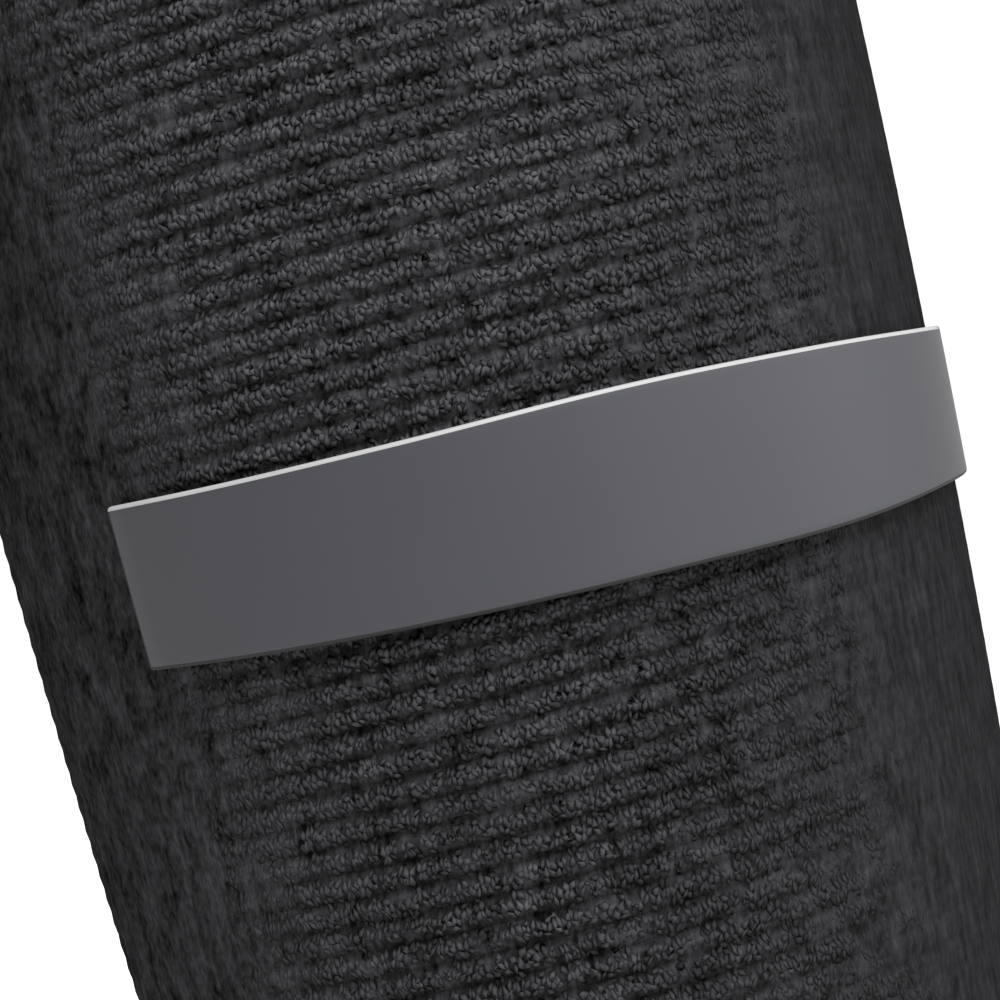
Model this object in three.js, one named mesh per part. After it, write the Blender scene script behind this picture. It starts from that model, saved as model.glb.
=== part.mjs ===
// Elbow support: a ribbed knitted tube in the form that a relaxed arm gives it, with a smooth grey
// band bonded round half of its forearm end. Millimetres, +Z up. The origin is the middle of the
// elbow inside the tube. The forearm points down and towards +X, and the bend lies in the XZ plane.

import * as THREE from "three";

// Line of the arm, measured along it from the middle of the elbow
const UPPER_LENGTH = 118;
const FOREARM_LENGTH = 137;
const BEND_LENGTH = 42;
const UPPER_LEAN = THREE.MathUtils.degToRad(8.5);
const FOREARM_LEAN = THREE.MathUtils.degToRad(13.5);

// Girth at the band, from the arm's line to the crests of the ribs
const HALF_WIDTH = 43.6;
const HALF_DEPTH = 41.6;

// Form of the worn tube. along is a share of the upper length above the elbow and of the forearm
// length below it; width and depth are shares of the half width and half depth.
const FORM = [
  { along: -1.0, width: 1.085, depth: 1.08 },
  { along: -0.62, width: 1.035, depth: 1.03 },
  { along: -0.25, width: 1.01, depth: 0.995 },
  { along: 0.0, width: 1.022, depth: 0.985 },
  { along: 0.21, width: 1.022, depth: 1.005 },
  { along: 0.525, width: 0.999, depth: 1.0 },
  { along: 0.84, width: 0.946, depth: 0.95 },
  { along: 1.0, width: 0.902, depth: 0.908 },
];

// Knitted wall
const WALL = 2.3;
const RIB_PITCH = 2.2;
const RIB_DEPTH = 0.7;
const HEM_WIDTH = 10;
const HEM_ROUND = 0.6;
const COLUMNS = 24;
const LINING_STEPS = 18;

// Band. Angles run round the arm's line from -Y, which is 0, towards +X.
const BAND_ALONG = 71.6;
const BAND_WIDTH = 14.6;
const BAND_THICKNESS = 1;
const BAND_BEVEL = 0.3;
const BAND_CLEARANCE = 0.3;
const BAND_START = THREE.MathUtils.degToRad(-40.9);
const BAND_SWEEP = THREE.MathUtils.degToRad(181);

// Outline of the band. round is a share of its sweep; upper and lower are how far each edge stands
// from the band's middle line, as shares of the band's width.
const BAND_OUTLINE = [
  { round: 0.0, upper: 0.54, lower: 0.405 },
  { round: 0.08, upper: 0.522, lower: 0.44 },
  { round: 0.18, upper: 0.519, lower: 0.473 },
  { round: 0.33, upper: 0.533, lower: 0.503 },
  { round: 0.45, upper: 0.5, lower: 0.521 },
  { round: 0.58, upper: 0.455, lower: 0.49 },
  { round: 0.8, upper: 0.44, lower: 0.5 },
  { round: 1.0, upper: 0.46, lower: 0.47 },
];

// A smooth reading of a table: the named columns at any value of its key column.
function tableReader(rows, keyOf, columns) {
  const keys = Float64Array.from(rows, keyOf);
  const values = Float64Array.from(rows.flatMap((row) => columns.map((name) => row[name])));
  const reader = new THREE.CubicInterpolant(keys, values, columns.length, new Float64Array(columns.length));
  return (key) => {
    const found = reader.evaluate(THREE.MathUtils.clamp(key, keys[0], keys[keys.length - 1]));
    return Object.fromEntries(columns.map((name, i) => [name, found[i]]));
  };
}

const formAt = tableReader(
  FORM,
  (row) => row.along * (row.along < 0 ? UPPER_LENGTH : FOREARM_LENGTH),
  ["width", "depth"],
);
const bandOutlineAt = tableReader(BAND_OUTLINE, (row) => row.round, ["upper", "lower"]);

// Where the arm's line is at a length along it, and the direction across it in the bend's plane.
// The line is straight, then turns evenly through the elbow, then is straight again.
function armLine(along) {
  const turn = UPPER_LEAN + FOREARM_LEAN;
  const radius = BEND_LENGTH / turn;
  const headingAt = (s) => (FOREARM_LEAN - UPPER_LEAN) / 2 + s / radius;
  const inBend = THREE.MathUtils.clamp(along, -BEND_LENGTH / 2, BEND_LENGTH / 2);
  const heading = headingAt(inBend);
  const beyond = along - inBend;
  const centre = new THREE.Vector3(
    radius * (Math.cos(headingAt(0)) - Math.cos(heading)) + beyond * Math.sin(heading),
    0,
    radius * (Math.sin(headingAt(0)) - Math.sin(heading)) - beyond * Math.cos(heading),
  );
  return { centre, across: new THREE.Vector3(Math.cos(heading), 0, Math.sin(heading)) };
}

// A point on the tube: along the arm, round it, and out from the crests of the ribs.
function tubePoint(along, angle, out) {
  const { centre, across } = armLine(along);
  const form = formAt(along);
  const width = form.width * HALF_WIDTH + out;
  const depth = form.depth * HALF_DEPTH + out;
  return centre
    .addScaledVector(across, width * Math.sin(angle))
    .add(new THREE.Vector3(0, -depth * Math.cos(angle), 0));
}

// Joins loops of points into one geometry. Each loop is closed and has the same number of points.
// The last loop joins the first where closed is true, and otherwise both ends are capped.
function loftLoops(loops, { closed }) {
  const count = loops[0].length;
  const positions = loops.flat().flatMap((point) => point.toArray());
  const indices = [];
  const spans = closed ? loops.length : loops.length - 1;
  for (let i = 0; i < spans; i += 1) {
    const next = (i + 1) % loops.length;
    for (let j = 0; j < count; j += 1) {
      const beside = (j + 1) % count;
      const corners = [i * count + j, i * count + beside, next * count + beside, next * count + j];
      indices.push(corners[0], corners[1], corners[2], corners[0], corners[2], corners[3]);
    }
  }
  if (!closed) {
    const last = (loops.length - 1) * count;
    for (let j = 1; j < count - 1; j += 1) {
      indices.push(0, j + 1, j, last, last + j, last + j + 1);
    }
  }
  const geometry = new THREE.BufferGeometry();
  geometry.setAttribute("position", new THREE.Float32BufferAttribute(positions, 3));
  geometry.setIndex(indices);
  geometry.computeVertexNormals();
  return geometry;
}

// The wall's outline from the upper end to the lower one: hem, ribs, hem. Each point is a length
// along the arm and a distance out from the crests of the ribs.
function outerProfile() {
  const ribbedFrom = HEM_WIDTH - UPPER_LENGTH;
  const ribbedTo = FOREARM_LENGTH - HEM_WIDTH;
  const ribs = Math.round((ribbedTo - ribbedFrom) / RIB_PITCH);
  const pitch = (ribbedTo - ribbedFrom) / ribs;
  const profile = [
    [-UPPER_LENGTH, -HEM_ROUND],
    [-UPPER_LENGTH + HEM_ROUND, 0],
    [ribbedFrom - pitch / 2, 0],
  ];
  for (let rib = 0; rib < ribs; rib += 1) {
    profile.push([ribbedFrom + rib * pitch, -RIB_DEPTH]);
    profile.push([ribbedFrom + (rib + 0.5) * pitch, 0]);
  }
  profile.push(
    [ribbedTo, -RIB_DEPTH],
    [ribbedTo + pitch / 2, 0],
    [FOREARM_LENGTH - HEM_ROUND, 0],
    [FOREARM_LENGTH, -HEM_ROUND],
  );
  return profile;
}

// The smooth inside of the wall, from the lower end back up to the upper one.
function innerProfile() {
  const length = UPPER_LENGTH + FOREARM_LENGTH;
  return Array.from({ length: LINING_STEPS + 1 }, (_, i) => [
    FOREARM_LENGTH - (i / LINING_STEPS) * length,
    -WALL,
  ]);
}

// The knitted tube: its outside and its inside are one closed surface, open at both ends.
function knitSleeveGeometry() {
  const loops = [...outerProfile(), ...innerProfile()].map(([along, out]) =>
    Array.from({ length: COLUMNS }, (_, j) => tubePoint(along, (-2 * Math.PI * j) / COLUMNS, out)),
  );
  return loftLoops(loops, { closed: true });
}

// One section through the band, with both outer edges bevelled.
function bandSection(round) {
  const angle = BAND_START + round * BAND_SWEEP;
  const outline = bandOutlineAt(round);
  const upper = BAND_ALONG - outline.upper * BAND_WIDTH;
  const lower = BAND_ALONG + outline.lower * BAND_WIDTH;
  const inner = BAND_CLEARANCE;
  const outer = BAND_CLEARANCE + BAND_THICKNESS;
  return [
    tubePoint(upper, angle, outer - BAND_BEVEL),
    tubePoint(upper + BAND_BEVEL, angle, outer),
    tubePoint(lower - BAND_BEVEL, angle, outer),
    tubePoint(lower, angle, outer - BAND_BEVEL),
    tubePoint(lower, angle, inner),
    tubePoint(upper, angle, inner),
  ];
}

// The band: an open strip that follows the tube from one end of its sweep to the other, in steps
// half as long as the tube's columns are wide.
function frontBandGeometry() {
  const steps = Math.ceil((COLUMNS * BAND_SWEEP) / Math.PI);
  const sections = Array.from({ length: steps + 1 }, (_, i) => bandSection(i / steps));
  return loftLoops(sections, { closed: false });
}

function namedMesh(name, geometry, material) {
  const mesh = new THREE.Mesh(geometry, new THREE.MeshStandardMaterial(material));
  mesh.name = name;
  return mesh;
}

const elbowSupport = new THREE.Group();
elbowSupport.add(
  namedMesh("knit_sleeve", knitSleeveGeometry(), { color: 0x343436, roughness: 0.95, metalness: 0 }),
  namedMesh("front_band", frontBandGeometry(), { color: 0x66676b, roughness: 0.45, metalness: 0 }),
);

export default elbowSupport;
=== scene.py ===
"""The looks of a knitted elbow support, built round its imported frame.

The support is a ribbed knitted sleeve in its worn form, with a smooth grey band part of the way
round the forearm. The sleeve is a closed shell of cloth with every stitch of its ribs modelled on
it. Lengths are metres, in the frame's own axes: +Z runs up towards the upper arm, the forearm
points down and towards +X, and -Y is the side that faces the camera.
"""

import logging
import math
from collections.abc import Sequence
from dataclasses import dataclass, field
from enum import Enum

import bpy
import numpy as np
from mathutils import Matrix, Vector

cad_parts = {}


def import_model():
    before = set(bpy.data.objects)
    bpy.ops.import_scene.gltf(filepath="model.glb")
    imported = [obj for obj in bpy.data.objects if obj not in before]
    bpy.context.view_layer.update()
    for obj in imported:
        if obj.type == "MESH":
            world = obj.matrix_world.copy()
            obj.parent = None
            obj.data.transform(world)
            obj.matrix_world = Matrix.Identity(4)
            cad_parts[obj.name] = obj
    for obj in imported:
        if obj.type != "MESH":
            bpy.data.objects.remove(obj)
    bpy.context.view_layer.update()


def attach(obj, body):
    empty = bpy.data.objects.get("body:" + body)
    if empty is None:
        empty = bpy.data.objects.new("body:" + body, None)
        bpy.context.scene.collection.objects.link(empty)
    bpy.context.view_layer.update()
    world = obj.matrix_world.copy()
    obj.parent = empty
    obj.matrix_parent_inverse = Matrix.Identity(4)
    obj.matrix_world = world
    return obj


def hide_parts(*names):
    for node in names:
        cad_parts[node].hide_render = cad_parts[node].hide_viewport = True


LOG = logging.getLogger("elbow_support")
ROOT_BODY = "root"
BAKE_MAP = "OFBake"
# The vertex attribute holding the yarn's tone, with painted shade multiplied into it on the ribs
TONE_AND_SHADE = "tone"
FUZZ = "fuzz"
MM = 0.001
FULL_TURN = 2 * math.pi


class Slot(Enum):
    """The material slots of the knit and the band."""

    KNIT = "knit"
    BAND = "band"


class Zone(Enum):
    """The stretches of the sleeve's cloth, each with a finish of its own."""

    GROUND = 0
    HEM = 1
    INSIDE = 2


def smooth_step(value: np.ndarray, low: float, high: float) -> np.ndarray:
    """Returns 0 below low, 1 above high and a smooth rise between them."""
    share = np.clip((value - low) / (high - low), 0, 1)
    return share * share * (3 - 2 * share)


def smooth_reading(keys: np.ndarray, values: np.ndarray, at: np.ndarray) -> np.ndarray:
    """Reads a short table smoothly between its rows.

    Args:
        keys: The rising key of each row.
        values: The value of each row.
        at: The keys to read the table at.

    Returns:
        The value at each key, on a cubic whose slopes come from the rows beside it.
    """
    slopes = np.gradient(values, keys)
    at = np.clip(at, keys[0], keys[-1])
    row = np.clip(np.searchsorted(keys, at, side="right") - 1, 0, len(keys) - 2)
    step = keys[row + 1] - keys[row]
    t = (at - keys[row]) / step
    start = (1 + 2 * t) * (1 - t) ** 2 * values[row] + t * (1 - t) ** 2 * step * slopes[row]
    end = t * t * (3 - 2 * t) * values[row + 1] - t * t * (1 - t) * step * slopes[row + 1]
    return start + end


@dataclass(frozen=True)
class FormRow:
    """The worn tube's section at one place, as shares of the lengths and half sizes."""

    along: float
    width: float
    depth: float


@dataclass(frozen=True)
class ArmForm:
    """The form that a relaxed arm gives the sleeve: its line, its bend and its girth.

    A place on the tube has three coordinates. along is measured down the arm from the middle of
    the elbow, angle runs round it from the front towards +X, and out is measured from the crests
    of the ribs.
    """

    upper_length: float = 118 * MM
    forearm_length: float = 137 * MM
    bend_length: float = 42 * MM
    upper_lean: float = math.radians(8.5)
    forearm_lean: float = math.radians(13.5)
    half_width: float = 43.6 * MM
    half_depth: float = 41.6 * MM
    rows: tuple[FormRow, ...] = (
        FormRow(-1.0, 1.085, 1.08),
        FormRow(-0.62, 1.035, 1.03),
        FormRow(-0.25, 1.01, 0.995),
        FormRow(0.0, 1.022, 0.985),
        FormRow(0.21, 1.022, 1.005),
        FormRow(0.525, 0.999, 1.0),
        FormRow(0.84, 0.946, 0.95),
        FormRow(1.0, 0.902, 0.908),
    )

    def line(self, along: np.ndarray) -> tuple[np.ndarray, np.ndarray]:
        """Finds the arm's line.

        Args:
            along: Places along the arm.

        Returns:
            The line's points, and the directions across it in the plane of the bend.
        """
        radius = self.bend_length / (self.upper_lean + self.forearm_lean)
        middle = (self.forearm_lean - self.upper_lean) / 2
        in_bend = np.clip(along, -self.bend_length / 2, self.bend_length / 2)
        beyond = along - in_bend
        heading = middle + in_bend / radius
        across = np.stack([np.cos(heading), 0 * heading, np.sin(heading)], -1)
        x = radius * (math.cos(middle) - across[..., 0]) + beyond * across[..., 2]
        z = radius * (math.sin(middle) - across[..., 2]) - beyond * across[..., 0]
        return np.stack([x, 0 * x, z], -1), across

    def half_sizes(self, along: np.ndarray) -> tuple[np.ndarray, np.ndarray]:
        """Returns the tube's half width and half depth at places along the arm."""
        keys = [
            row.along * (self.upper_length if row.along < 0 else self.forearm_length)
            for row in self.rows
        ]
        sizes = (
            (self.half_width, [row.width for row in self.rows]),
            (self.half_depth, [row.depth for row in self.rows]),
        )
        width, depth = (
            size * smooth_reading(np.array(keys), np.array(shares), along)
            for size, shares in sizes
        )
        return width, depth

    def surface(self, along: np.ndarray, angle: np.ndarray, out: np.ndarray) -> np.ndarray:
        """Places points on the tube.

        Args:
            along: Places along the arm.
            angle: Angles round it.
            out: Distances out from the crests of the ribs.

        Returns:
            The points, with a last axis of three coordinates.
        """
        along, angle, out = np.broadcast_arrays(along, angle, out)
        centre, across = self.line(along)
        width, depth = self.half_sizes(along)
        points = centre + across * ((width + out) * np.sin(angle))[..., None]
        points[..., 1] -= (depth + out) * np.cos(angle)
        return points


@dataclass(frozen=True)
class RibLayout:
    """Where the ribs lie along the sleeve, and how they lean and flatten round it.

    The ribs stand high on two panels, one in front and one behind, and flatten to plain knit at
    both sides. On the forearm the flat stretch on the +X side is wider.
    """

    pitch: float = 2.2 * MM
    hem_width: float = 10 * MM
    row_lean: float = 1.1 * MM
    lean_fade: float = 15 * MM
    crest_level: float = -0.27 * MM
    rib_depth: float = 0.58 * MM
    side_level: float = 0.1 * MM
    left_fade: tuple[float, float] = (math.radians(-15), math.radians(-49))
    left_relief: float = 0.16
    left_tones: tuple[float, float] = (0.41, 0.6)
    right_fade: tuple[float, float] = (math.radians(10), math.radians(70))
    forearm_right_fade: tuple[float, float] = (math.radians(2), math.radians(60))
    right_relief: float = 0.03
    right_tones: tuple[float, float] = (0.33, 0.44)
    side_fuzz: tuple[float, float] = (0.68, 0.2)
    tone_leads: tuple[float, float] = (1.25, 0.7)
    forearm_tone: float = 0.83
    forearm_from: float = 45 * MM
    forearm_full: float = 95 * MM
    valley_from: float = 0.28

    def span(self, form: ArmForm) -> tuple[float, float]:
        """Returns where the ribs start and end along the arm."""
        return self.hem_width - form.upper_length, form.forearm_length - self.hem_width

    def crests(self, form: ArmForm) -> np.ndarray:
        """Returns the place of each rib's crest along the arm."""
        start, end = self.span(form)
        count = round((end - start) / self.pitch)
        return start + (np.arange(count) + 0.5) * (end - start) / count

    def lean(self, form: ArmForm, along: np.ndarray, angle: np.ndarray) -> np.ndarray:
        """Returns how far the rows move along the arm at an angle, because they lean a little."""
        start, end = self.span(form)
        to_hem = np.minimum(along - start, end - along)
        return -self.row_lean * np.sin(angle) * smooth_step(to_hem, 0, self.lean_fade)

    def forearm_share(self, along: np.ndarray) -> np.ndarray:
        """Returns 0 on the upper stretch and 1 on the lower forearm."""
        return smooth_step(along, self.forearm_from, self.forearm_full)

    def sides(self, along: np.ndarray, angle: np.ndarray) -> tuple[np.ndarray, np.ndarray]:
        """Finds how far a place belongs to the flat sides. The back mirrors the front.

        Args:
            along: Places along the arm.
            angle: Angles round it.

        Returns:
            The shares of the side towards -X and of the side towards +X.
        """
        signed = np.mod(angle + math.pi, FULL_TURN) - math.pi
        behind = np.sign(signed) * math.pi - signed
        folded = np.where(np.abs(signed) > math.pi / 2, behind, signed)
        spread = self.forearm_share(along)
        start, end = (
            upper + spread * (forearm - upper)
            for upper, forearm in zip(self.right_fade, self.forearm_right_fade)
        )
        return smooth_step(folded, *self.left_fade), smooth_step(folded, start, end)

    def relief(self, along: np.ndarray, angle: np.ndarray) -> np.ndarray:
        """Returns how high the ribs stand: full in front and behind, low at the sides."""
        left, right = self.sides(along, angle)
        return 1 - (1 - self.left_relief) * left - (1 - self.right_relief) * right

    def ridge(self, from_crest: np.ndarray, relief: np.ndarray) -> np.ndarray:
        """Finds how far out the cloth lies on a rib.

        Args:
            from_crest: Distances along the arm from the rib's crest.
            relief: The ribs' relief there.

        Returns:
            The cloth's distances out from the plain tube.
        """
        fall = np.sin(np.clip(np.abs(from_crest) / self.pitch, 0, 0.5) * math.pi) ** 2
        full = self.crest_level - self.rib_depth * fall
        return self.side_level + (full - self.side_level) * relief

    def tone(self, along: np.ndarray, angle: np.ndarray) -> np.ndarray:
        """Returns how light the yarn is made: darker towards both flat sides and down the forearm."""
        lower = self.forearm_share(along)
        tone = 1 - (1 - self.forearm_tone) * lower
        tones = (self.left_tones, self.right_tones)
        for side, (on_upper, on_forearm), lead in zip(self.sides(along, angle), tones, self.tone_leads):
            loss = 1 - on_upper - (on_forearm - on_upper) * lower
            tone = tone * (1 - loss * side**lead)
        return tone

    def fuzz(self, along: np.ndarray, angle: np.ndarray) -> np.ndarray:
        """Returns how much the loose fibre shows: less where the cloth is drawn tight."""
        left, right = self.sides(along, angle)
        return 1 - (1 - self.side_fuzz[0]) * left - (1 - self.side_fuzz[1]) * right

    def valley(self, from_crest: np.ndarray) -> np.ndarray:
        """Returns 0 on a rib's crest and 1 in the valley beside it."""
        return smooth_step(np.abs(from_crest), self.valley_from * self.pitch, 0.5 * self.pitch)


class NodeTree:
    """Writes the nodes of a material or a group, left to right."""

    def __init__(self, tree: bpy.types.NodeTree) -> None:
        """Starts with an empty tree."""
        self.tree = tree
        tree.nodes.clear()

    def add(self, kind: str, **settings: object) -> bpy.types.Node:
        """Adds a node and gives it its settings."""
        node = self.tree.nodes.new(kind)
        for name, value in settings.items():
            setattr(node, name, value)
        return node

    def link(self, source: bpy.types.NodeSocket, target: bpy.types.NodeSocket) -> None:
        """Joins two sockets."""
        self.tree.links.new(source, target)

    def feed(self, value: object, target: bpy.types.NodeSocket) -> None:
        """Sets a socket to a value, or joins another socket to it."""
        if isinstance(value, bpy.types.NodeSocket):
            self.link(value, target)
        else:
            target.default_value = value

    def maths(self, operation: str, *values: object) -> bpy.types.NodeSocket:
        """Adds a Math node.

        Args:
            operation: The node's operation.
            values: A number or a socket for each input.

        Returns:
            The node's result.
        """
        node = self.add("ShaderNodeMath", operation=operation)
        for value, target in zip(values, node.inputs):
            self.feed(value, target)
        return node.outputs[0]

    def scaled(self, colour: object, share: object) -> bpy.types.NodeSocket:
        """Adds a node that makes a colour lighter or darker by a share."""
        node = self.add("ShaderNodeVectorMath", operation="SCALE")
        self.feed(colour, node.inputs[0])
        self.feed(share, node.inputs["Scale"])
        return node.outputs[0]

    def noise(self, place: bpy.types.NodeSocket, scale: object, detail: float) -> bpy.types.NodeSocket:
        """Adds a Noise Texture and returns its value, which lies about a half."""
        node = self.add("ShaderNodeTexNoise", noise_dimensions="3D")
        self.link(place, node.inputs["Vector"])
        self.feed(scale, node.inputs["Scale"])
        node.inputs["Detail"].default_value = detail
        return node.outputs[0]

    def ranged(
        self,
        value: bpy.types.NodeSocket,
        start: tuple[float, float],
        end: tuple[float, float],
    ) -> bpy.types.NodeSocket:
        """Adds a Map Range node with a smooth step.

        Args:
            value: What is read.
            start: The value where the step starts, and the result up to there.
            end: The value where it ends, and the result from there on.

        Returns:
            The node's result.
        """
        node = self.add("ShaderNodeMapRange", interpolation_type="SMOOTHSTEP")
        self.link(value, node.inputs["Value"])
        for name, number in zip(("From Min", "To Min", "From Max", "To Max"), (*start, *end)):
            node.inputs[name].default_value = number
        return node.outputs[0]

    def bump(self, height: bpy.types.NodeSocket, strength: float, distance: float) -> bpy.types.NodeSocket:
        """Adds a Bump node and returns its normal."""
        node = self.add("ShaderNodeBump")
        node.inputs["Strength"].default_value = strength
        node.inputs["Distance"].default_value = distance
        self.link(height, node.inputs["Height"])
        return node.outputs[0]

    def surface(
        self,
        colour: object,
        roughness: object,
        shine: float,
        normal: bpy.types.NodeSocket,
    ) -> None:
        """Adds the shader and the material's output.

        Args:
            colour: The colour over the surface, or one for all of it.
            roughness: The roughness over the surface, or one for all of it.
            shine: The shader's specular level.
            normal: The normal over the surface.
        """
        shader = self.add("ShaderNodeBsdfPrincipled")
        shader.inputs["Specular IOR Level"].default_value = shine
        self.feed(colour, shader.inputs["Base Color"])
        self.feed(roughness, shader.inputs["Roughness"])
        self.link(normal, shader.inputs["Normal"])
        output = self.add("ShaderNodeOutputMaterial")
        self.link(shader.outputs[0], output.inputs["Surface"])


class SharedEffects:
    """The node groups that more than one finish uses."""

    FIBRE_STRETCH = 0.55
    FINE_DETAIL = 3.0
    BROAD_DETAIL = 2.0
    BROAD_SCALE = 0.22
    DARKEST = 0.15
    KNIT_SWING = 0.2
    KNIT_DARKEST = 0.87

    def __init__(self) -> None:
        """Builds each group once."""
        self.fibre = self._fibre()
        self.plain_knit = self._plain_knit()

    def _group(self, name: str, inputs: Sequence[str], outputs: Sequence[str]) -> bpy.types.NodeTree:
        """Makes an empty group whose sockets all hold numbers."""
        group = bpy.data.node_groups.new(name, "ShaderNodeTree")
        for direction, names in (("INPUT", inputs), ("OUTPUT", outputs)):
            for socket in names:
                group.interface.new_socket(socket, in_out=direction, socket_type="NodeSocketFloat")
        return group

    def _fibre(self) -> bpy.types.NodeTree:
        """Makes the fuzz of loose fibre: a height, and a share for the colour that is darker where the
        height is low, which is random mottle and painted shade in the hollows.
        """
        group = self._group("loose_fibre", ("Fineness", "Contrast", "Cloud"), ("Height", "Shade"))
        nodes = NodeTree(group)
        given = nodes.add("NodeGroupInput")
        stretch = nodes.add("ShaderNodeMapping")
        stretch.inputs["Scale"].default_value = (1.0, 1.0, self.FIBRE_STRETCH)
        nodes.link(nodes.add("ShaderNodeTexCoord").outputs["Object"], stretch.inputs["Vector"])
        place = stretch.outputs["Vector"]
        fine = nodes.noise(place, given.outputs["Fineness"], self.FINE_DETAIL)
        broad_scale = nodes.maths("MULTIPLY", given.outputs["Fineness"], self.BROAD_SCALE)
        broad = nodes.noise(place, broad_scale, self.BROAD_DETAIL)
        fine, broad = (nodes.maths("SUBTRACT", noise, 0.5) for noise in (fine, broad))
        height = nodes.maths("MULTIPLY_ADD", broad, given.outputs["Cloud"], fine)
        swing = nodes.maths("MULTIPLY", height, given.outputs["Contrast"])
        shade = nodes.maths("MAXIMUM", nodes.maths("ADD", swing, 1.0), self.DARKEST)
        result = nodes.add("NodeGroupOutput")
        nodes.link(swing, result.inputs["Height"])
        nodes.link(shade, result.inputs["Shade"])
        return group

    def _plain_knit(self) -> bpy.types.NodeTree:
        """Makes plain knit on a piece's own map: columns of stitches with two legs each. Its share for the
        colour is painted shade, darker in the grooves between the legs and the rows.
        """
        group = self._group("plain_knit", ("Columns", "Rows"), ("Height", "Shade"))
        nodes = NodeTree(group)
        given = nodes.add("NodeGroupInput")
        split = nodes.add("ShaderNodeSeparateXYZ")
        nodes.link(nodes.add("ShaderNodeTexCoord").outputs["UV"], split.inputs[0])
        column = nodes.maths("FRACT", nodes.maths("MULTIPLY", split.outputs["X"], given.outputs["Columns"]))
        from_middle = nodes.maths("ABSOLUTE", nodes.maths("SUBTRACT", column, 0.5))
        leg = nodes.maths("PINGPONG", nodes.maths("MULTIPLY", from_middle, 2.0), 0.5)
        row = nodes.maths("MULTIPLY", split.outputs["Y"], given.outputs["Rows"])
        slanted = nodes.maths("FRACT", nodes.maths("ADD", row, from_middle))
        arch = nodes.maths("SINE", nodes.maths("MULTIPLY", slanted, math.pi))
        height = nodes.maths("MULTIPLY", nodes.maths("POWER", arch, 0.5), nodes.maths("MULTIPLY", leg, 2.0))
        result = nodes.add("NodeGroupOutput")
        nodes.link(height, result.inputs["Height"])
        shade = nodes.maths("MULTIPLY_ADD", height, self.KNIT_SWING, self.KNIT_DARKEST)
        nodes.link(shade, result.inputs["Shade"])
        return group


@dataclass(frozen=True)
class YarnFinish:
    """Matt charcoal yarn, for what is knitted."""

    name: str
    colour: tuple[float, float, float]
    fineness: float = 2200.0
    contrast: float = 1.2
    cloud: float = 0.5
    fuzz_depth: float = 0.08 * MM
    fuzz_strength: float = 0.8
    roughness: float = 0.95
    shine: float = 0.0

    def fibre_of(self, nodes: NodeTree, effects: SharedEffects) -> bpy.types.Node:
        """Adds the loose fibre to a material."""
        fibre = nodes.add("ShaderNodeGroup", node_tree=effects.fibre)
        fibre.inputs["Fineness"].default_value = self.fineness
        fibre.inputs["Cloud"].default_value = self.cloud
        fuzz = nodes.add("ShaderNodeAttribute", attribute_name=FUZZ).outputs["Fac"]
        nodes.link(nodes.maths("MULTIPLY", fuzz, self.contrast), fibre.inputs["Contrast"])
        return fibre


@dataclass(frozen=True)
class StitchFinish(YarnFinish):
    """The yarn of the ribs, each stitch in a tone of its own, with painted shade towards the valleys between
    the rows.
    """

    def material(self, effects: SharedEffects) -> bpy.types.Material:
        """Makes the material."""
        made = new_material(self.name)
        nodes = NodeTree(made.node_tree)
        fibre = self.fibre_of(nodes, effects)
        tone = nodes.add("ShaderNodeAttribute", attribute_name=TONE_AND_SHADE).outputs["Fac"]
        share = nodes.maths("MULTIPLY", tone, fibre.outputs["Shade"])
        colour = nodes.scaled(self.colour, share)
        normal = nodes.bump(fibre.outputs["Height"], self.fuzz_strength, self.fuzz_depth)
        nodes.surface(colour, self.roughness, self.shine, normal)
        return made


@dataclass(frozen=True)
class PlainKnitFinish(YarnFinish):
    """The cloth between the stitches, of the hems and of the inside."""

    columns: float = 326.0
    rows: float = 480.0
    knit_depth: float = 0.12 * MM
    knit_strength: float = 0.7
    streaks: tuple[float, float] = (420.0, 130.0)
    streak_contrast: float = 1.2

    def material(self, effects: SharedEffects) -> bpy.types.Material:
        """Makes the material."""
        made = new_material(self.name)
        nodes = NodeTree(made.node_tree)
        fibre = self.fibre_of(nodes, effects)
        knit = nodes.add("ShaderNodeGroup", node_tree=effects.plain_knit)
        knit.inputs["Columns"].default_value = self.columns
        knit.inputs["Rows"].default_value = self.rows
        tone = nodes.add("ShaderNodeAttribute", attribute_name=TONE_AND_SHADE).outputs["Fac"]
        share = nodes.maths("MULTIPLY", knit.outputs["Shade"], fibre.outputs["Shade"])
        share = nodes.maths("MULTIPLY", share, self.streaks_of(nodes))
        colour = nodes.scaled(self.colour, nodes.maths("MULTIPLY", share, tone))
        fuzz = nodes.maths("MULTIPLY", fibre.outputs["Height"], self.fuzz_depth / self.knit_depth)
        height = nodes.maths("ADD", knit.outputs["Height"], fuzz)
        normal = nodes.bump(height, self.knit_strength, self.knit_depth)
        nodes.surface(colour, self.roughness, self.shine, normal)
        return made

    def streaks_of(self, nodes: NodeTree) -> bpy.types.NodeSocket:
        """Adds the faint lengthwise streaks of knit that is drawn tight, on the cloth's map."""
        place = nodes.add("ShaderNodeMapping")
        place.inputs["Scale"].default_value = (*self.streaks, 1.0)
        nodes.link(nodes.add("ShaderNodeTexCoord").outputs["UV"], place.inputs["Vector"])
        swing = nodes.maths("SUBTRACT", nodes.noise(place.outputs["Vector"], 1.0, 1.0), 0.5)
        return nodes.maths("MULTIPLY_ADD", swing, self.streak_contrast, 1.0)


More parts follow.
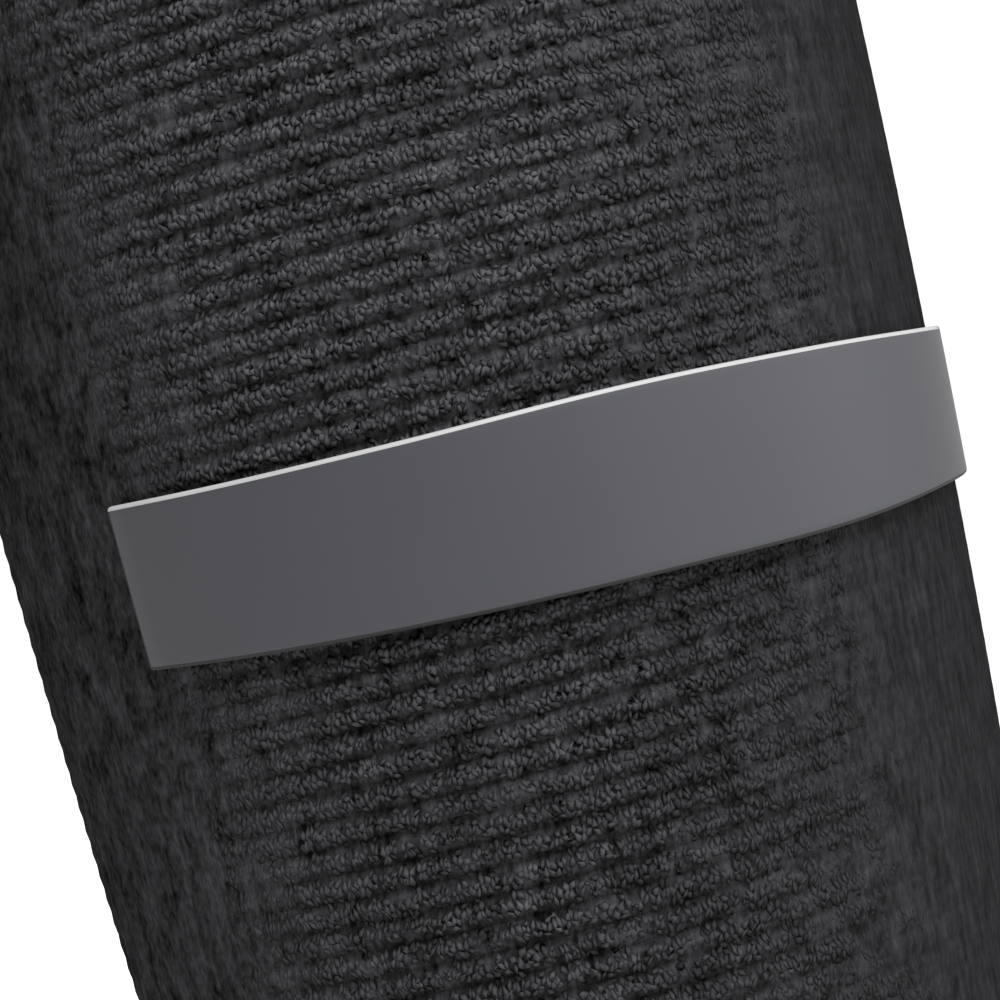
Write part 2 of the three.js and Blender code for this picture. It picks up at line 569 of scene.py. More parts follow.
@dataclass(frozen=True)
class BandFinish:
    """Smooth satin polymer, as the band's face and its edges have it; the upper edge's pale colour is a
    painted highlight.

    A strip at the band's start may be paler, and the tone may fade further round, as the upper edge's
    painted highlight does where the band turns away. Both are placed by shares of the way round the
    band, which its map holds.
    """

    name: str
    colour: tuple[float, float, float]
    roughness: float
    shine: float = 0.5
    fineness: float = 420.0
    mottle: float = 0.05
    grain: float = 0.012 * MM
    grain_strength: float = 0.4
    start_strip: float = 0.014
    start_tone: float = 1.0
    fade: tuple[float, float] = (0.63, 0.67)
    faded_tone: float = 1.0

    def material(self) -> bpy.types.Material:
        """Makes the material."""
        made = new_material(self.name)
        nodes = NodeTree(made.node_tree)
        place = nodes.add("ShaderNodeTexCoord").outputs["Object"]
        cloud = nodes.noise(place, self.fineness / 4, 2.0)
        pores = nodes.noise(place, self.fineness * 10, 2.0)
        swing = nodes.maths("SUBTRACT", cloud, 0.5)
        split = nodes.add("ShaderNodeSeparateXYZ")
        nodes.link(nodes.add("ShaderNodeTexCoord").outputs["UV"], split.inputs[0])
        round_share = split.outputs["X"]
        strip = nodes.ranged(round_share, (0.6 * self.start_strip, self.start_tone), (self.start_strip, 1.0))
        faded = nodes.ranged(round_share, (self.fade[0], 1.0), (self.fade[1], self.faded_tone))
        tone = nodes.maths("MULTIPLY", strip, faded)
        share = nodes.maths("MULTIPLY_ADD", swing, 2 * self.mottle, 1.0)
        colour = nodes.scaled(self.colour, nodes.maths("MULTIPLY", tone, share))
        rough = nodes.maths("MULTIPLY_ADD", swing, self.mottle, self.roughness)
        normal = nodes.bump(pores, self.grain_strength, self.grain)
        nodes.surface(colour, rough, self.shine, normal)
        return made


def new_material(name: str) -> bpy.types.Material:
    """Makes a material that is built from nodes."""
    made = bpy.data.materials.new(name)
    made.use_nodes = True
    return made


def start_fresh() -> None:
    """Leaves edit mode and deselects everything, so that an operator acts on one piece only."""
    if bpy.context.object is not None and bpy.context.object.mode != "OBJECT":
        bpy.ops.object.mode_set(mode="OBJECT")
    bpy.ops.object.select_all(action="DESELECT")


def vertex_places(mesh: bpy.types.Mesh) -> np.ndarray:
    """Returns a mesh's vertices, one row each."""
    places = np.empty(len(mesh.vertices) * 3, np.float32)
    mesh.vertices.foreach_get("co", places)
    return places.reshape(-1, 3).astype(float)


def grid_sheet(name: str, columns: int, rows: int) -> tuple[bpy.types.Object, np.ndarray, np.ndarray]:
    """Adds a flat sheet of faces to be shaped.

    Args:
        name: The piece's name.
        columns: How many faces it has across.
        rows: How many faces it has down.

    Returns:
        The piece, and the column and the row of each of its vertices. Row 0 is the upper edge.
    """
    start_fresh()
    bpy.ops.mesh.primitive_grid_add(x_subdivisions=columns, y_subdivisions=rows, size=2)
    piece = bpy.context.object
    piece.name = name
    piece.data.name = name
    places = vertex_places(piece.data)
    column = np.rint((places[:, 0] + 1) / 2 * columns).astype(int)
    row = np.rint((1 - places[:, 1]) / 2 * rows).astype(int)
    return piece, column, row


def set_places(mesh: bpy.types.Mesh, places: np.ndarray) -> None:
    """Moves a mesh's vertices."""
    mesh.vertices.foreach_set("co", places.astype(np.float32).ravel())
    mesh.update()


def set_map(mesh: bpy.types.Mesh, across: np.ndarray, down: np.ndarray) -> None:
    """Gives a mesh the map that its patterns read.

    Args:
        mesh: The mesh.
        across: The map's first coordinate for each corner of each face.
        down: The second one.
    """
    layer = mesh.uv_layers.active or mesh.uv_layers.new()
    layer.name = BAKE_MAP
    layer.data.foreach_set("uv", np.stack([across, down], -1).astype(np.float32).ravel())


def set_shares(mesh: bpy.types.Mesh, name: str, shares: np.ndarray) -> None:
    """Gives each vertex of a mesh a share that its finish reads."""
    layer = mesh.attributes.new(name, "FLOAT", "POINT")
    layer.data.foreach_set("value", shares.astype(np.float32).ravel())


def corner_vertices(mesh: bpy.types.Mesh) -> np.ndarray:
    """Returns the vertex of each corner of each face."""
    corners = np.empty(len(mesh.loops), np.int32)
    mesh.loops.foreach_get("vertex_index", corners)
    return corners


def report(piece: bpy.types.Object) -> None:
    """Reports a finished piece."""
    piece.data.calc_loop_triangles()
    LOG.info("%s: %d triangles", piece.name, len(piece.data.loop_triangles))


@dataclass
class SleeveCloth:
    """The sleeve's cloth: one closed shell with ribs and hems outside and a plain inside."""

    form: ArmForm
    ribs: RibLayout
    columns: int = 96
    inside_rows: int = 30
    wall: float = 2.3 * MM
    hem_round: float = 0.6 * MM
    # The ground's darkening on the ribs is painted shade: darker at the crests between the strands, darkest
    # in the valleys.
    crest_painted_shade: float = 0.66
    valley_painted_shade: float = 0.34
    hem_tones: tuple[float, float] = (0.2, 0.45)
    hem_fuzz: float = 0.5
    panel_fuzz: float = 0.8
    hem_steps: tuple[float, ...] = (0.25, 0.5, 0.75, 0.94)
    round_middle: float = 0.3

    def _outline(self) -> list[tuple[float, float, Zone]]:
        """Lists the wall's outline: outside from the upper end down, then inside back up.

        Each entry is a place along the arm, a distance and a zone. The distance is measured from
        the rib's crest along the arm on the ribbed ground, and outwards elsewhere.
        """
        crests = self.ribs.crests(self.form)
        quarter = (crests[1] - crests[0]) / 4
        top, bottom = -self.form.upper_length, self.form.forearm_length
        corner = self.hem_round
        middle = self.round_middle * corner
        hem = [(0.0, -corner), (middle, -middle), (corner, 0.0)]
        hem += [(share * self.ribs.hem_width, 0.0) for share in self.hem_steps]
        profile = [(top + along, out, Zone.HEM) for along, out in hem]
        for crest in crests:
            for step in (-2, -1, 0, 1):
                profile.append((crest + step * quarter, step * quarter, Zone.GROUND))
        profile.append((crests[-1] + 2 * quarter, 2 * quarter, Zone.GROUND))
        profile += [(bottom - along, out, Zone.HEM) for along, out in reversed(hem)]
        inside = np.linspace(bottom, top, self.inside_rows + 1)
        profile += [(along, -self.wall, Zone.INSIDE) for along in inside]
        return [*profile, profile[0]]

    def build(self, finishes: dict[Zone, bpy.types.Material]) -> bpy.types.Object:
        """Models the cloth.

        Args:
            finishes: The material of each zone.

        Returns:
            The finished piece.
        """
        profile = self._outline()
        piece, column, row = grid_sheet("sleeve_cloth", self.columns, len(profile) - 1)
        along, distance = (np.array([entry[i] for entry in profile]) for i in (0, 1))
        zones = np.array([entry[2].value for entry in profile], np.int32)
        ribbed = zones == Zone.GROUND.value
        angle = column * FULL_TURN / self.columns
        relief = self.ribs.relief(along[row], angle)
        lean = np.where(ribbed[row], self.ribs.lean(self.form, along[row], angle), 0)
        out = np.where(ribbed[row], self.ribs.ridge(distance[row], relief), distance[row])
        set_places(piece.data, self.form.surface(along[row] + lean, angle, out))
        self._map(piece.data, column, row, along)
        # On the ribs the ground is darkened towards each valley: painted shade between the strands and the
        # rows.
        fall = self.ribs.valley(distance[row])
        panel_painted_shade = self.crest_painted_shade + (self.valley_painted_shade - self.crest_painted_shade) * fall
        tone = self.ribs.tone(along[row], angle) * (1 + (panel_painted_shade - 1) * relief)
        hem_tone = self.hem_tones[0] + self.hem_tones[1] * self.ribs.tone(along[row], angle)
        set_shares(piece.data, TONE_AND_SHADE, np.where(ribbed[row], tone, hem_tone))
        fuzz = self.ribs.fuzz(along[row], angle) * (1 + (self.panel_fuzz - 1) * relief)
        set_shares(piece.data, FUZZ, np.where(ribbed[row], fuzz, self.hem_fuzz))
        self._dress(piece.data, zones, row, finishes)
        self._close(piece)
        return piece

    def _map(
        self,
        mesh: bpy.types.Mesh,
        column: np.ndarray,
        row: np.ndarray,
        along: np.ndarray,
    ) -> None:
        """Maps the cloth: once round it across, and the length of its outline down."""
        steps = np.maximum(np.abs(np.diff(along)), 0.1 * MM)
        length = np.concatenate([[0], np.cumsum(steps)])
        corners = corner_vertices(mesh)
        set_map(mesh, column[corners] / self.columns, 1 - length[row[corners]] / length[-1])

    def _dress(
        self,
        mesh: bpy.types.Mesh,
        zones: np.ndarray,
        row: np.ndarray,
        finishes: dict[Zone, bpy.types.Material],
    ) -> None:
        """Gives each face the material of its zone, which its upper edge names."""
        for zone in Zone:
            mesh.materials.append(finishes[zone])
        starts = np.empty(len(mesh.polygons), np.int32)
        mesh.polygons.foreach_get("loop_start", starts)
        corners = corner_vertices(mesh)
        upper = np.minimum.reduceat(row[corners], starts)
        mesh.polygons.foreach_set("material_index", zones[upper])
        mesh.polygons.foreach_set("use_smooth", np.ones(len(mesh.polygons), bool))

    def _close(self, piece: bpy.types.Object) -> None:
        """Joins the sheet's edges, so that it is one closed shell whose faces point out."""
        bpy.ops.object.mode_set(mode="EDIT")
        bpy.ops.mesh.select_all(action="SELECT")
        bpy.ops.mesh.remove_doubles(threshold=0.001 * MM)
        bpy.ops.mesh.normals_make_consistent(inside=False)
        bpy.ops.object.mode_set(mode="OBJECT")
        report(piece)


@dataclass(frozen=True)
class Strand:
    """One strand of a stitch: where its middle is, its half sizes in millimetres and its turn."""

    across: float
    up: float
    half_width: float
    half_length: float
    turn: float
    half_height: float = 0.1
    end_dive: float = 0.7

    def model(self) -> bpy.types.Object:
        """Models the strand: a spindle of six faces, ridged on top, whose ends dive into the cloth."""
        start_fresh()
        bpy.ops.mesh.primitive_uv_sphere_add(segments=3, ring_count=2, radius=1)
        piece = bpy.context.object
        bpy.ops.object.mode_set(mode="EDIT")
        bpy.ops.mesh.select_all(action="DESELECT")
        bpy.ops.object.mode_set(mode="OBJECT")
        # The two rings between the ball's poles become one
        below_pole = 0.9
        for vertex in piece.data.vertices:
            vertex.select = abs(vertex.co.z) < below_pole
        origin = (0.0, 0.0, 0.0)
        bpy.ops.object.mode_set(mode="EDIT")
        bpy.ops.transform.resize(value=(1.0, 1.0, 0.0), center_override=origin)
        bpy.ops.mesh.remove_doubles()
        bpy.ops.transform.translate(value=(0.0, self.end_dive, 0.0))
        bpy.ops.mesh.select_all(action="SELECT")
        sizes = (self.half_width * MM, self.half_height * MM, self.half_length * MM)
        bpy.ops.transform.resize(value=sizes, center_override=origin)
        bpy.ops.transform.rotate(value=self.turn, orient_axis="Y", center_override=origin)
        bpy.ops.transform.translate(value=(self.across * MM, 0.0, self.up * MM))
        bpy.ops.object.mode_set(mode="OBJECT")
        return piece


@dataclass(frozen=True)
class StitchShape:
    """One stitch as it stands on a rib, modelled once and copied.

    Its own axes are X round the arm, Z up the arm and Y outwards.
    """

    strands: tuple[Strand, ...]

    def model(self) -> bpy.types.Object:
        """Models the stitch.

        Returns:
            The piece, with its strands joined.
        """
        pieces = [strand.model() for strand in self.strands]
        start_fresh()
        for piece in pieces:
            piece.select_set(True)
        bpy.context.view_layer.objects.active = pieces[0]
        bpy.ops.object.join()
        return pieces[0]


STITCH_SHAPES = (
    StitchShape(
        (
            Strand(-0.22, 0.38, 0.39, 0.6, 0.3),
            Strand(0.2, 0.5, 0.36, 0.55, -0.25),
            Strand(-0.16, -0.4, 0.39, 0.58, -0.4),
            Strand(0.22, -0.3, 0.38, 0.62, 0.15),
        )
    ),
    StitchShape(
        (
            Strand(-0.1, 0.62, 0.39, 0.48, 1.2),
            Strand(0.22, 0.1, 0.36, 0.67, 0.2),
            Strand(-0.22, -0.1, 0.36, 0.62, -0.15),
            Strand(0.08, -0.62, 0.39, 0.5, 1),
        )
    ),
    StitchShape(
        (
            Strand(-0.2, 0.5, 0.35, 0.58, -0.35),
            Strand(0.22, 0.32, 0.4, 0.53, 0.5),
            Strand(-0.22, -0.34, 0.36, 0.65, 0.2),
            Strand(0.18, -0.52, 0.38, 0.5, -0.6),
        )
    ),
    StitchShape(
        (
            Strand(0.14, 0.64, 0.36, 0.48, -0.9),
            Strand(-0.22, 0.14, 0.38, 0.62, 0.35),
            Strand(0.2, -0.08, 0.36, 0.6, -0.3),
            Strand(-0.12, -0.66, 0.39, 0.48, 0.8),
        )
    ),
)


@dataclass
class RibStitches:
    """Every stitch of the ribs, copied from a few modelled ones and joined in groups of rows."""

    form: ArmForm
    ribs: RibLayout
    columns: int = 326
    groups: int = 5
    seed: int = 11
    shapes: tuple[StitchShape, ...] = STITCH_SHAPES
    most_out: float = 0.24 * MM
    side_height: float = 0.2
    lift: float = 0.1 * MM
    side_sink: float = 0.13 * MM
    gap_shade: float = 0.5
    dark_share: float = 0.05
    valley_pit_shade_share: float = 0.15
    dark_tone: float = 0.55
    turn: float = math.radians(16)
    drift_turn: float = math.radians(7)
    wander: float = 0.24 * MM
    drift: float = 0.24 * MM
    rough: float = 0.08 * MM
    crumple: float = 0.06 * MM
    mottle: float = 0.03
    strand_mottle: float = 0.05
    clump_tone: float = 0.1
    own_tone: float = 0.08
    drift_tone: float = 0.05
    streak: float = 0.11
    small_share: float = 0.06
    small_size: float = 0.6
    width_spread: float = 0.12
    length_spread: float = 0.1
    jitter: float = 0.12
    side_stretch: float = 0.5
    place_waves: tuple[int, int] = (110, 9)
    turn_waves: tuple[int, int] = (30, 5)
    tone_waves: tuple[int, int] = (12, 5)

    def build(self, finish: bpy.types.Material) -> list[bpy.types.Object]:
        """Models the stitches.

        Args:
            finish: The yarn's material.

        Returns:
            One piece for each group of rows.
        """
        models = [shape.model() for shape in self.shapes]
        local = np.stack([vertex_places(model.data) for model in models])
        template = models[0].data.copy()
        for model in models:
            bpy.data.objects.remove(model)
        crests = self.ribs.crests(self.form)
        fields = self._fields(len(crests))
        pieces = []
        for number, rows in enumerate(np.array_split(np.arange(len(crests)), self.groups), 1):
            chosen = {name: values[rows].ravel() for name, values in fields.items()}
            piece = self._join(f"rib_stitches_{number}", chosen, local, template)
            piece.data.materials.append(finish)
            report(piece)
            pieces.append(piece)
        return pieces

    def _waves(self, rng: np.random.Generator, rows: int, most: int, count: int) -> np.ndarray:
        """Makes a smooth random field over the stitches that joins up all the way round.

        Args:
            rng: The source of the random numbers.
            rows: How many rows of stitches there are.
            most: The most waves round the sleeve.
            count: How many waves are added up.

        Returns:
            A value from about -1 to 1 for each row and column.
        """
        row, column = np.mgrid[0:rows, 0 : self.columns]
        total = np.zeros((rows, self.columns))
        for _ in range(count):
            around = rng.integers(1, most + 1)
            along = rng.uniform(-1, 1) * most * rows / self.columns
            phase = rng.uniform(0, FULL_TURN)
            total += np.sin(FULL_TURN * (around * column / self.columns + along * row / rows) + phase)
        return total / math.sqrt(count)

    def _fields(self, rows: int) -> dict[str, np.ndarray]:
        """Works out where each stitch lies, and its size, turn and tone.

        Args:
            rows: How many ribs there are.

        Returns:
            Named arrays with a value for each rib and column.
        """
        rng = np.random.default_rng(self.seed)
        shape = (rows, self.columns)
        crests = self.ribs.crests(self.form)[:, None]
        angle = np.broadcast_to(np.arange(self.columns) * FULL_TURN / self.columns, shape)
        relief = self.ribs.relief(crests, angle)
        beside = self._clumps(rng, shape)
        small = rng.random(shape) < self.small_share
        size = np.where(small, self.small_size, 1)
        width = (1 + self.width_spread * rng.normal(size=shape)).clip(0.7, 1.4) * size
        length = (1 + self.length_spread * rng.normal(size=shape)).clip(0.7, 1.3) * size
        crest = crests + self.ribs.lean(self.form, crests, angle)
        along = crest + self.drift * self._waves(rng, rows, *self.place_waves)
        along = along + self.wander * rng.normal(size=shape).clip(-2, 2)
        jitter = self.jitter * FULL_TURN / self.columns * rng.normal(size=shape).clip(-2, 2)
        tone = self.clump_tone * beside + self.own_tone * rng.normal(size=shape)
        tone = tone + self.drift_tone * self._waves(rng, rows, *self.tone_waves)
        streaks = self.streak * self._clumps(rng, shape[::-1]).T
        tone = (1 + tone * relief + streaks * (1 - relief)).clip(0.45, 1.8)
        rough = self.rough * self._clumps(rng, shape).clip(-2, 1.5)
        turn = self.turn * rng.normal(size=shape).clip(-2, 2)
        turn = turn + self.drift_turn * self._waves(rng, rows, *self.turn_waves)
        return {
            "crest": crest,
            "along": along,
            "angle": angle + jitter,
            "out": relief * (self.lift + rough) - (1 - relief) * self.side_sink,
            "turn": turn,
            "width": width,
            "length": length * (1 + self.side_stretch * (1 - relief)),
            "height": self.side_height + (1 - self.side_height) * relief,
            "relief": relief,
            "tone": tone * self.ribs.tone(crests, angle),
            "shape": rng.integers(0, len(self.shapes), shape),
        }

    def _clumps(self, rng: np.random.Generator, shape: tuple[int, int]) -> np.ndarray:
        """Makes a random field in which a few stitches side by side hold together."""
        own = rng.normal(size=shape)
        return (np.roll(own, 1, 1) + 2 * own + np.roll(own, -1, 1)) / math.sqrt(6)

    def _join(
        self,
        name: str,
        chosen: dict[str, np.ndarray],
        local: np.ndarray,
        template: bpy.types.Mesh,
    ) -> bpy.types.Object:
        """Joins the copies of a group into one piece.

        Args:
            name: The piece's name.
            chosen: The fields of the group's stitches.
            local: The vertices of each modelled stitch.
            template: A modelled stitch, for its faces.

        Returns:
            The piece.
        """
        count, corners = len(chosen["along"]), local.shape[1]
        rng = np.random.default_rng(count + self.seed)
        own = local[chosen["shape"]]
        crumple = self.crumple * chosen["relief"][:, None, None]
        own = own + crumple * rng.normal(size=own.shape).clip(-2, 2)
        across = own[..., 0] * chosen["width"][:, None]
        up = own[..., 2] * chosen["length"][:, None]
        raised = own[..., 1] * chosen["height"][:, None]
        cosine, sine = np.cos(chosen["turn"])[:, None], np.sin(chosen["turn"])[:, None]
        radius = (self.form.half_width + self.form.half_depth) / 2
        angle = chosen["angle"][:, None] + (across * cosine - up * sine) / radius
        along = chosen["along"][:, None] - (across * sine + up * cosine)
        from_crest = along - chosen["crest"][:, None]
        relief = np.broadcast_to(chosen["relief"][:, None], raised.shape)
        out = self.ribs.ridge(from_crest, relief) + chosen["out"][:, None] + raised
        places = self.form.surface(along, angle, np.minimum(out, self.most_out)).reshape(-1, 3)
        mesh = bpy.data.meshes.new(name)
        self._copy_faces(mesh, template, count, corners)
        set_places(mesh, places)
        valley = self.ribs.valley(from_crest)
        # The tone falls towards the valleys between the rows: painted shade.
        tone = chosen["tone"][:, None] * (1 - self.gap_shade * relief * valley)
        set_shares(mesh, TONE_AND_SHADE, tone * self._blots(rng, relief, valley))
        fuzz = self.ribs.fuzz(chosen["crest"], chosen["angle"])[:, None]
        set_shares(mesh, FUZZ, np.broadcast_to(fuzz, relief.shape))
        vertex = corner_vertices(mesh)
        span = along.max() - along.min()
        turns = np.clip(angle / FULL_TURN, 0, 1).ravel()
        set_map(mesh, turns[vertex], ((along.max() - along) / span).ravel()[vertex])
        piece = bpy.data.objects.new(name, mesh)
        bpy.context.scene.collection.objects.link(piece)
        return piece

    def _blots(self, rng: np.random.Generator, relief: np.ndarray, valley: np.ndarray) -> np.ndarray:
        """Makes strands differ in tone, with a few dark ones at random and more of them between the rows,
        where they are painted shade in the holes.

        Args:
            rng: The source of the random numbers.
            relief: The relief at each vertex of each stitch.
            valley: How near to a valley each vertex lies.

        Returns:
            A share for each vertex's tone.
        """
        strands = len(self.shapes[0].strands)
        each = relief.shape[1] // strands
        own = rng.normal(size=(len(relief), strands)).clip(-2, 2.5).repeat(each, axis=1)
        # More dark strands towards the valleys: painted shade in the holes between the rows.
        chance = self.dark_share + (self.valley_pit_shade_share - self.dark_share) * valley[:, ::each]
        dark = (rng.random(chance.shape) < chance).repeat(each, axis=1)
        blots = 1 + self.mottle * rng.normal(size=relief.shape).clip(-2, 2.5) + self.strand_mottle * own
        return 1 + relief * (blots * np.where(dark, self.dark_tone, 1) - 1)

    def _copy_faces(
        self,
        mesh: bpy.types.Mesh,
        template: bpy.types.Mesh,
        count: int,
        corners: int,
    ) -> None:
        """Gives a mesh the faces of a number of copies of the template."""
        loops = corner_vertices(template)
        sizes = np.array([len(face.vertices) for face in template.polygons], np.int32)
        starts = np.concatenate([[0], np.cumsum(sizes)[:-1]])
        copies = np.arange(count)[:, None]
        mesh.vertices.add(count * corners)
        mesh.loops.add(count * len(loops))
        mesh.polygons.add(count * len(sizes))
        mesh.loops.foreach_set("vertex_index", (loops + copies * corners).ravel().astype(np.int32))
        mesh.polygons.foreach_set(
            "loop_start", (starts + copies * len(loops)).ravel().astype(np.int32)
        )
        mesh.polygons.foreach_set("use_smooth", np.ones(count * len(sizes), bool))
        mesh.update(calc_edges=True)
        mesh.validate()


@dataclass(frozen=True)
class EdgeRow:
    """How far the band's edges stand from its middle line at one place, as shares of its width."""

    round: float
    upper: float
    lower: float


@dataclass
class FrontBand:
    """The smooth band on the forearm: a strip with bevelled edges, the upper one pale with a painted
    highlight.
    """

    form: ArmForm
    along: float = 71.6 * MM
    width: float = 14.6 * MM
    thickness: float = 1.0 * MM
    bevel: float = 0.34 * MM
    clearance: float = 0.3 * MM
    start: float = math.radians(-40.9)
    sweep: float = math.radians(181)
    steps: int = 120
    edges: tuple[EdgeRow, ...] = (
        EdgeRow(0.0, 0.54, 0.405),
        EdgeRow(0.08, 0.522, 0.44),
        EdgeRow(0.18, 0.519, 0.473),
        EdgeRow(0.33, 0.533, 0.503),
        EdgeRow(0.45, 0.5, 0.521),
        EdgeRow(0.58, 0.455, 0.49),
        EdgeRow(0.8, 0.44, 0.5),
        EdgeRow(1.0, 0.46, 0.47),
    )
    rows: tuple[float, ...] = (0.0, 0.06, 0.25, 0.5, 0.75, 0.94, 1.0)
    upper_edge_map: float = 0.962

    def build(self, finishes: Sequence[bpy.types.Material]) -> bpy.types.Object:
        """Models the band.

        Args:
            finishes: The materials of its face, its side edges and its upper edge, whose pale colour is a
                painted highlight.

        Returns:
            The finished piece.
        """
        piece, column, row = grid_sheet("band_strip", self.steps, len(self.rows) - 1)
        share = column / self.steps
        keys = np.array([entry.round for entry in self.edges])
        upper = smooth_reading(keys, np.array([entry.upper for entry in self.edges]), share)
        lower = smooth_reading(keys, np.array([entry.lower for entry in self.edges]), share)
        down = np.array(self.rows)[row]
        along = self.along + self.width * (down * (upper + lower) - upper)
        angle = self.start + self.sweep * share
        set_places(piece.data, self.form.surface(along, angle, np.full(len(along), self.clearance)))
        corners = corner_vertices(piece.data)
        set_map(piece.data, share[corners], 1 - down[corners])
        for finish in finishes:
            piece.data.materials.append(finish)
        self._thicken(piece)
        self._dress_upper_edge(piece.data)
        report(piece)
        return piece

    def _dress_upper_edge(self, mesh: bpy.types.Mesh) -> None:
        """Gives the edge that faces up the arm its own material, a painted highlight, by its place on the
        map.
        """
        layer = mesh.uv_layers.active.data
        for face in mesh.polygons:
            down = [layer[corner].uv[1] for corner in face.loop_indices]
            if face.material_index == 1 and sum(down) / len(down) > self.upper_edge_map:
                face.material_index = 2

    def _thicken(self, piece: bpy.types.Object) -> None:
        """Gives the strip its thickness and its bevelled edges."""
        wall = piece.modifiers.new("thickness", "SOLIDIFY")
        wall.thickness = self.thickness
        wall.offset = 1.0
        wall.material_offset_rim = 1
        wall.use_even_offset = True
        bevel = piece.modifiers.new("cut_edge", "BEVEL")
        bevel.width = self.bevel
        bevel.segments = 3
        bevel.limit_method = "ANGLE"
        bevel.angle_limit = math.radians(50)
        bevel.material = 1
        for modifier in (wall.name, bevel.name):
            bpy.ops.object.modifier_apply(modifier=modifier)
        bpy.ops.object.shade_smooth_by_angle(angle=math.radians(38))


@dataclass(frozen=True)
class Lamp:
    """One soft area light."""

    name: str
    place: tuple[float, float, float]
    aim: tuple[float, float, float]
    size: float
    power: float
    colour: tuple[float, float, float] = (1.0, 1.0, 1.0)

    def build(self) -> None:
        """Adds the light, turned to its aim."""
        data = bpy.data.lights.new(self.name, "AREA")
        data.shape = "SQUARE"
        data.size = self.size
        data.energy = self.power
        data.color = self.colour
        lamp = bpy.data.objects.new(self.name, data)
        lamp.location = self.place
        direction = Vector(self.aim) - Vector(self.place)
        lamp.rotation_euler = direction.to_track_quat("-Z", "Y").to_euler()
        lamp.visible_camera = False
        bpy.context.scene.collection.objects.link(lamp)


@dataclass
class Studio:
    """The camera, the soft lights and the plain pale floor."""

    form: ArmForm
    seen_along: float = 71.6 * MM
    distance: float = 242 * MM
    elevation: float = math.radians(1.75)
    lens: float = 92.7
    aim_shift: tuple[float, float, float] = (1.79 * MM, 0.0, 0.47 * MM)
    floor_height: float = -0.2
    floor_radius: float = 8.0
    paper: tuple[float, float, float, float] = (0.96, 0.96, 0.96, 1.0)
    tooth_fineness: float = 900.0
    tooth_depth: float = 0.1 * MM
    sky: float = 1.06
    lamps: tuple[Lamp, ...] = (
        Lamp("top_box", (0.06, -0.26, 0.32), (0.0, 0.0, -0.05), 0.3, 7.3),
        Lamp("front_right_box", (0.85, -0.85, 0.35), (0.0, 0.0, -0.05), 0.8, 9.4),
        Lamp("right_box", (1.2, -0.1, 0.35), (0.0, 0.0, -0.05), 0.8, 10.0),
    )

    def place_camera(self) -> None:
        """Adds the camera at the photograph's angle and distance."""
        seen = Vector(self.form.line(np.array(self.seen_along))[0])
        back = Vector((0.0, -math.cos(self.elevation), math.sin(self.elevation)))
        data = bpy.data.cameras.new("camera")
        data.lens = self.lens
        data.sensor_width = 36.0
        data.clip_start = 0.01
        data.clip_end = 100.0
        camera = bpy.data.objects.new("camera", data)
        camera.location = seen + back * self.distance
        direction = seen + Vector(self.aim_shift) - camera.location
        camera.rotation_euler = direction.to_track_quat("-Z", "Y").to_euler()
        bpy.context.scene.collection.objects.link(camera)
        bpy.context.scene.camera = camera

    def build(self) -> None:
        """Adds the floor, the lights and the pale surroundings."""
        start_fresh()
        bpy.ops.mesh.primitive_circle_add(
            vertices=96,
            radius=self.floor_radius,
            fill_type="NGON",
            location=(0.0, 0.0, self.floor_height),
        )
        floor = bpy.context.object
        floor.name = "pale_floor"
        floor.data.materials.append(self._pale("pale_paper"))
        bpy.ops.object.transform_apply(location=True, rotation=True, scale=True)
        for lamp in self.lamps:
            lamp.build()
        bpy.context.scene.world = self._room()
        bpy.context.scene.view_settings.view_transform = "Standard"

    def _room(self) -> bpy.types.World:
        """Makes the white surroundings, which light the support softly from all sides."""
        world = bpy.data.worlds.new("pale_room")
        world.use_nodes = True
        nodes = NodeTree(world.node_tree)
        background = nodes.add("ShaderNodeBackground")
        background.inputs["Strength"].default_value = self.sky
        background.inputs["Color"].default_value = (1.0, 1.0, 1.0, 1.0)
        output = nodes.add("ShaderNodeOutputWorld")
        nodes.link(background.outputs[0], output.inputs["Surface"])
        return world

    def _pale(self, name: str) -> bpy.types.Material:
        """Makes the floor's matt paper, with a faint tooth."""
        made = new_material(name)
        nodes = NodeTree(made.node_tree)
        place = nodes.add("ShaderNodeTexCoord").outputs["Object"]
        tooth = nodes.noise(place, self.tooth_fineness, 2.0)
        normal = nodes.bump(tooth, 0.2, self.tooth_depth)
        nodes.surface(self.paper, 0.95, 0.5, normal)
        return made


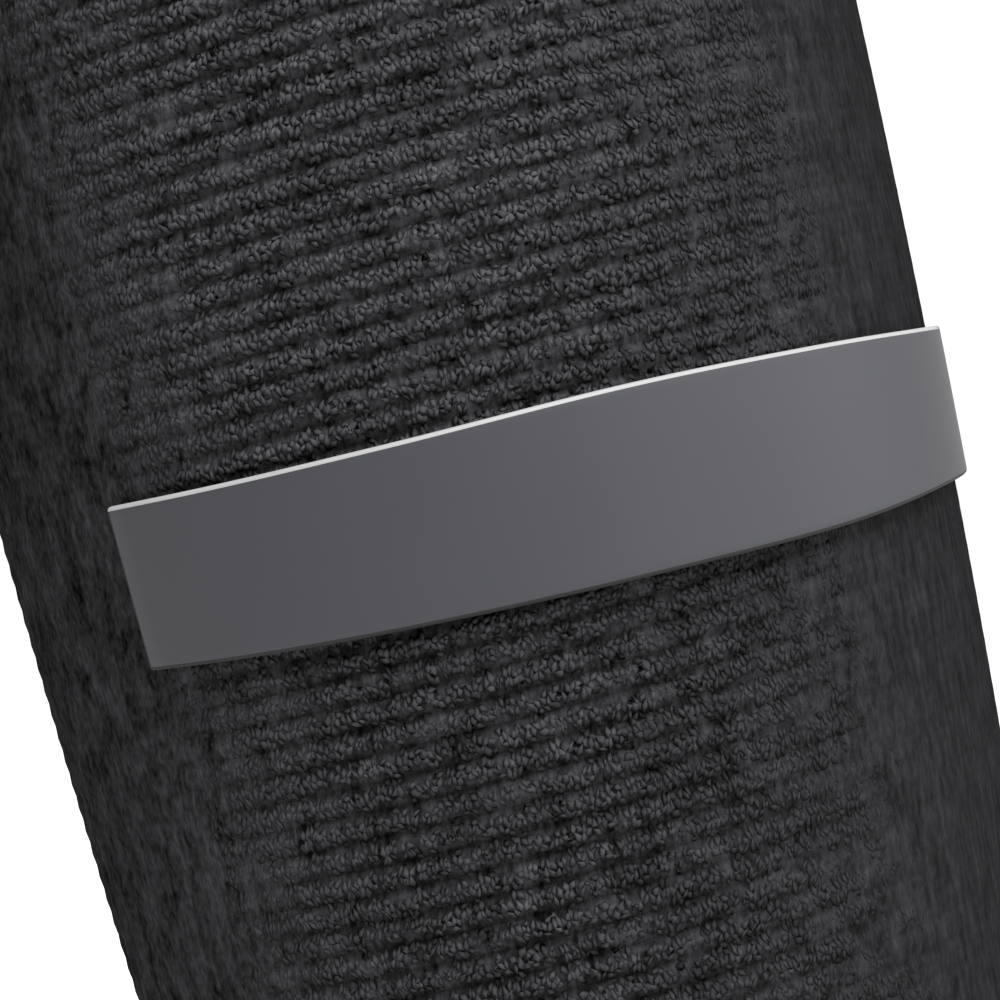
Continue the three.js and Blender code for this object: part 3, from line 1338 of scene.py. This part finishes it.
@dataclass
class ElbowSupport:
    """The whole support, dressed piece by piece."""

    form: ArmForm = field(default_factory=ArmForm)
    ribs: RibLayout = field(default_factory=RibLayout)
    flat_size: tuple[float, float] = (268 * MM, 255 * MM)

    def build(self) -> None:
        """Models every piece and gives it its finish."""
        effects = SharedEffects()
        self._sleeve(effects)
        self._band()

    def _sleeve(self, effects: SharedEffects) -> None:
        """Makes the cloth and the stitches on it."""
        yarn = (0.0228, 0.0228, 0.0243)
        ground = PlainKnitFinish("knit_ground", yarn, contrast=3.5, cloud=1.1, knit_depth=0.04 * MM)
        hem = PlainKnitFinish("knit_hem", yarn, rows=460.0)
        inside = PlainKnitFinish("knit_inside", (0.02, 0.02, 0.0215), rows=300.0)
        cloth = SleeveCloth(self.form, self.ribs).build(
            {
                Zone.GROUND: ground.material(effects),
                Zone.HEM: hem.material(effects),
                Zone.INSIDE: inside.material(effects),
            }
        )
        stitches = RibStitches(self.form, self.ribs).build(
            StitchFinish("rib_yarn", yarn).material(effects)
        )
        for piece in (cloth, *stitches):
            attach(piece, ROOT_BODY)
        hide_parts("knit_sleeve")

    def _band(self) -> None:
        """Makes the band."""
        finishes = (
            BandFinish("satin_grey", (0.017, 0.0173, 0.02), 0.5, shine=0.18, start_tone=1.18),
            BandFinish("dull_side_edge", (0.009, 0.009, 0.0095), 0.7, shine=0.1),
            # The upper edge's pale colour is a painted highlight of the top light on its bevel, faded out
            # where the band turns away.
            BandFinish(
                "painted_highlight_upper_edge", (0.15, 0.15, 0.152), 0.5, shine=0.12, mottle=0.12, faded_tone=0.1
            ),
        )
        band = FrontBand(self.form).build([finish.material() for finish in finishes])
        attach(band, ROOT_BODY)
        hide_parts("front_band")


def main() -> None:
    """Builds the camera, the support and the studio round the frame."""
    logging.basicConfig(level=logging.INFO, format="%(name)s: %(message)s")
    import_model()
    support = ElbowSupport()
    studio = Studio(support.form)
    studio.place_camera()
    support.build()
    studio.build()
    bpy.context.view_layer.update()


if __name__ == "__main__":
    main()
